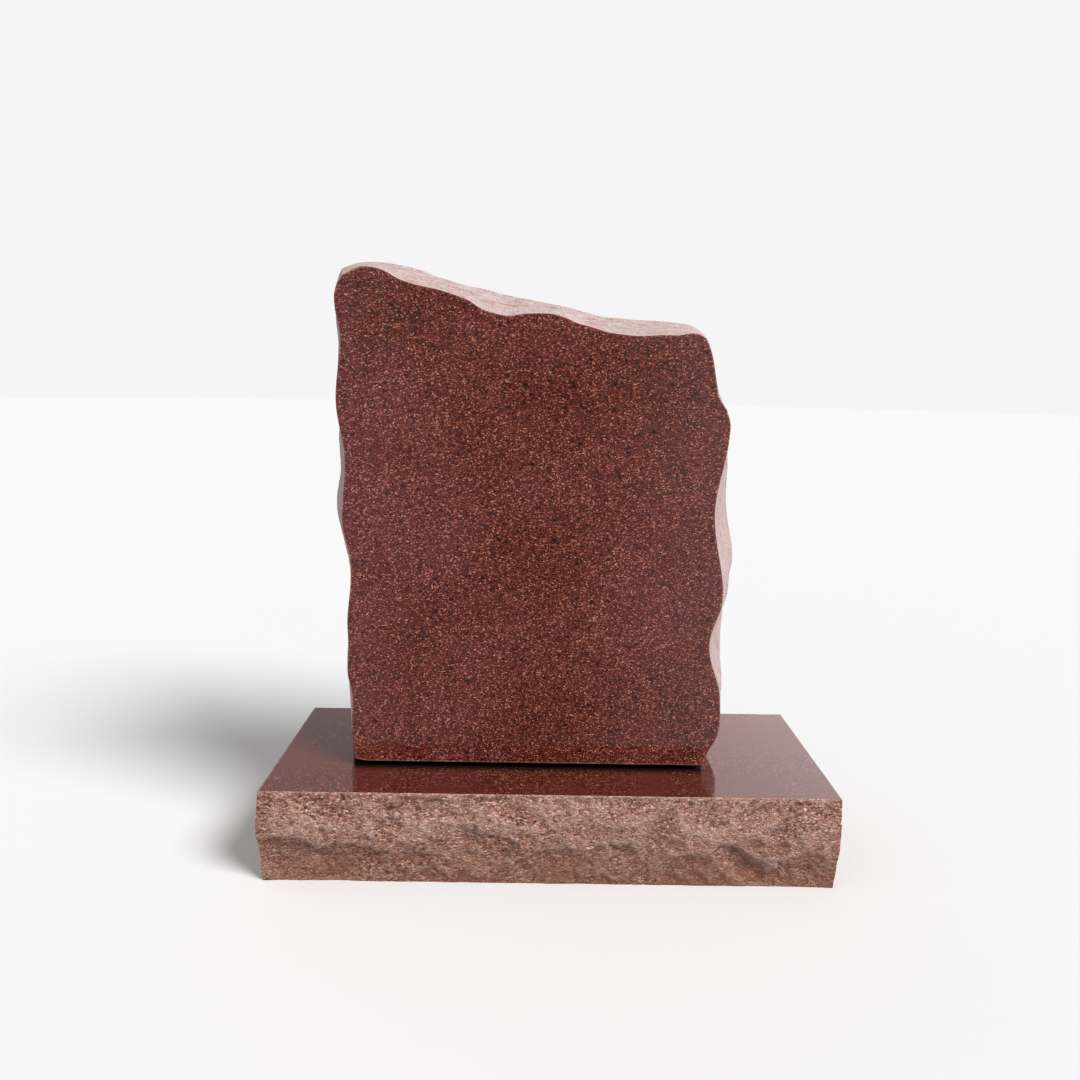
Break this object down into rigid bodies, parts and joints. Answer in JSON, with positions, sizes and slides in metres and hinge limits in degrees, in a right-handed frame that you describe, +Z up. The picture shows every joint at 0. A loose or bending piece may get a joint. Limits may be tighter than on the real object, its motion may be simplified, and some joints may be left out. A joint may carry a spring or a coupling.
{
  "type": "boulder memorial",
  "caption": "Boulder memorial: an irregular polished granite tablet with dressed edges, standing on a rock-pitched base with a polished top.",
  "frame": {"origin": "centre of the base's flat underside, on the ground", "axes": "+Z up, +X along the base to the viewer's right, and the polished face looks along -Y"},
  "size_m": [0.921, 0.348, 0.9791],
  "materials": {
    "tablet_granite": "polished face, dressed edges",
    "base_granite": "polished top, rock-pitched sides"
  },
  "bodies": {
    "root": {"tablet": "tablet_granite", "base": "base_granite"}
  },
  "joints": []
}
